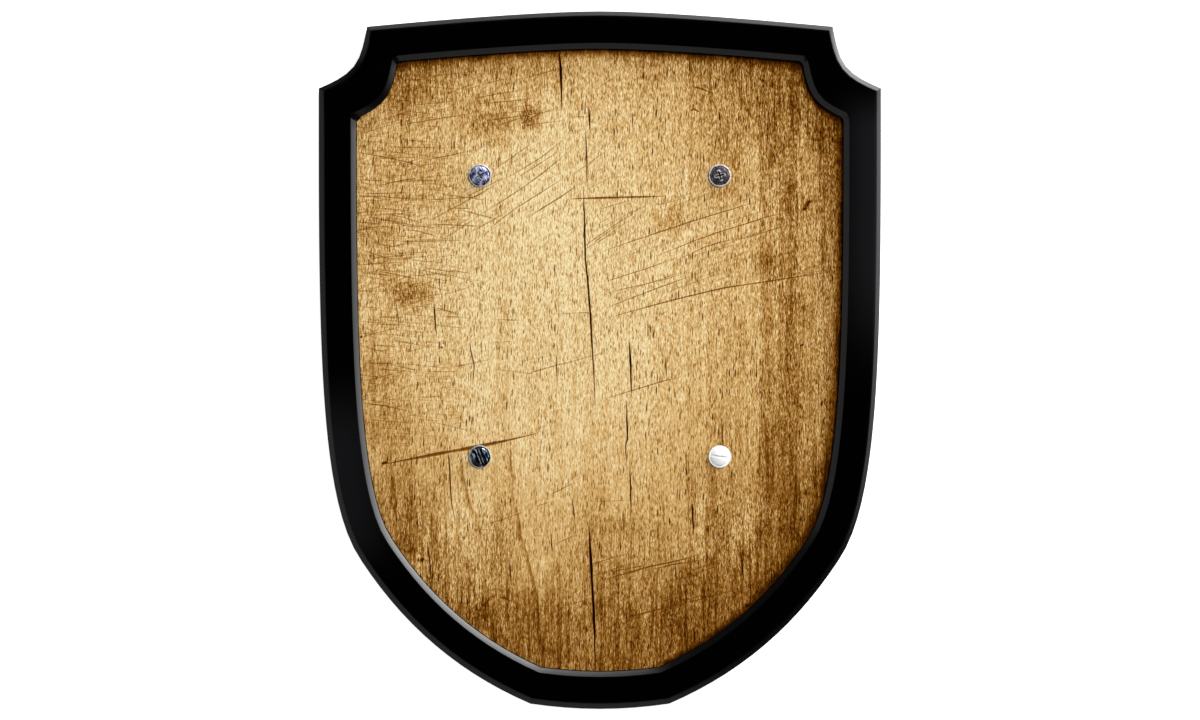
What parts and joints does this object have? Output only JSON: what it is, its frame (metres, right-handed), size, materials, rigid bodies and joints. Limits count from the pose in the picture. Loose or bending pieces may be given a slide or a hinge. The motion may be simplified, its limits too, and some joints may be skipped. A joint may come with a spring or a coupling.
{
  "type": "heraldic shield",
  "caption": "Flat wall shield with notched top corners, a raised bevelled border and a sunk wood panel held by round-head screws.",
  "frame": {"origin": "on the flat back, under the middle of the shield's box", "axes": "+Z out of the shield's face, +Y towards its top edge, +X to the right as its face is seen"},
  "size_m": [0.3, 0.3722, 0.0223],
  "materials": {
    "black_lacquer": "black lacquer over wood, satin gloss, faint wear on the bevels",
    "worn_beech": "old oiled beech with dark edges, flecks, cracks and scratches",
    "bluish_zinc": "bluish zinc plate, scuffed",
    "gunmetal": "dark gunmetal with bright worn edges",
    "blued_steel": "blued black steel with a few bright scuffs",
    "bright_nickel": "bright nickel, lightly scratched"
  },
  "bodies": {
    "root": {"black_frame": "black_lacquer", "wood_panel": "worn_beech", "screw_top_left": "bluish_zinc", "screw_top_right": "gunmetal", "screw_bottom_left": "blued_steel", "screw_bottom_right": "bright_nickel"}
  },
  "joints": []
}
